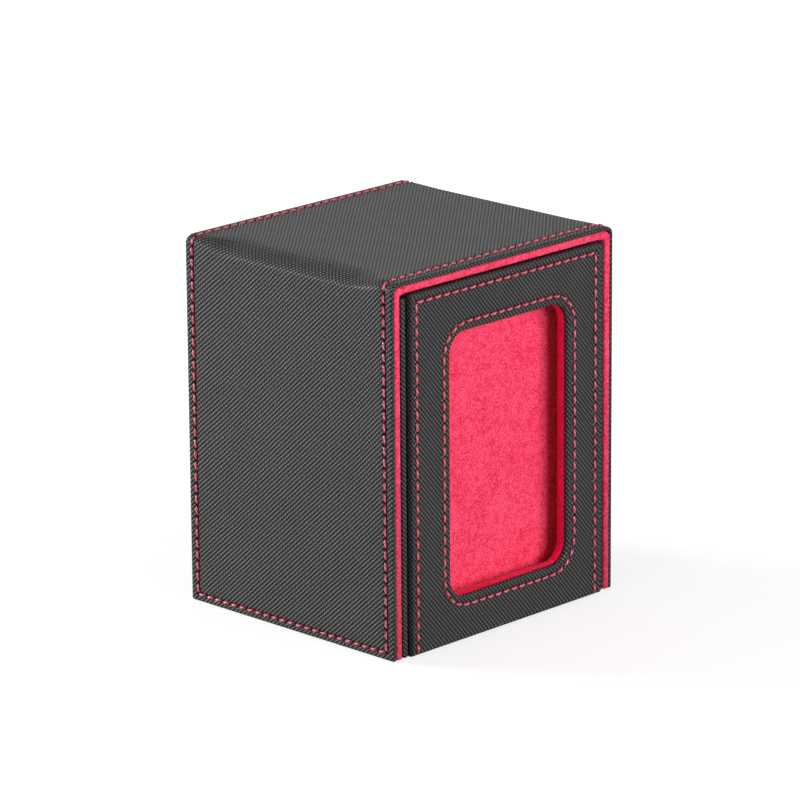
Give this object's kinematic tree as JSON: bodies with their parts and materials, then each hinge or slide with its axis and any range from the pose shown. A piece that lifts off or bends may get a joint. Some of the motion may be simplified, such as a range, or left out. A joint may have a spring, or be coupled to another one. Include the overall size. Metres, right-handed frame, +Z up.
{
  "type": "card storage box",
  "caption": "Upright card deck box: leatherette case, sliding drawer with a card bay, and a fold-down window flap over a display pocket.",
  "frame": {"origin": "on the ground under the middle of the closed box", "axes": "X across the box, Y from its front to its rear, Z up; the window faces -Y"},
  "size_m": [0.0954, 0.0882, 0.115],
  "materials": {
    "black_leatherette": "black leatherette embossed with fine diagonal ribs of beads, satin",
    "red_microfibre": "red brushed microfibre, matt",
    "greyboard": "grey bookbinding board, matt",
    "nickel": "nickel-plated magnet"
  },
  "bodies": {
    "case": {"case_cover": "black_leatherette", "case_board_left": "greyboard", "case_board_right": "greyboard", "case_board_top": "greyboard", "case_lining": "red_microfibre", "back_cover": "black_leatherette", "back_board": "greyboard", "back_lining": "red_microfibre", "base_cover": "black_leatherette", "base_board": "greyboard", "base_lining": "red_microfibre", "case_magnet_left": "nickel", "case_magnet_right": "nickel"},
    "drawer": {"drawer_cover": "black_leatherette", "drawer_side_left": "greyboard", "drawer_side_right": "greyboard", "drawer_floor": "greyboard", "drawer_front": "greyboard", "drawer_back": "greyboard", "drawer_lining": "red_microfibre", "drawer_magnet_left": "nickel", "drawer_magnet_right": "nickel", "display_panel": "red_microfibre", "display_spacer": "red_microfibre", "latch_magnet_left": "nickel", "latch_magnet_right": "nickel", "hinge_strip": "black_leatherette"},
    "flap": {"flap_cover": "black_leatherette", "flap_board": "greyboard", "flap_lining": "red_microfibre", "flap_magnet_left": "nickel", "flap_magnet_right": "nickel"}
  },
  "joints": [
    {"name": "drawer_slide", "type": "slide", "parent": "case", "child": "drawer", "axis": [0, -1, 0], "range_m": [0, 0.07]},
    {"name": "flap_hinge", "type": "hinge", "parent": "drawer", "child": "flap", "pos_m": [0, -0.0435, 0.0008], "axis": [1, 0, 0], "range_deg": [0, 90]}
  ]
}
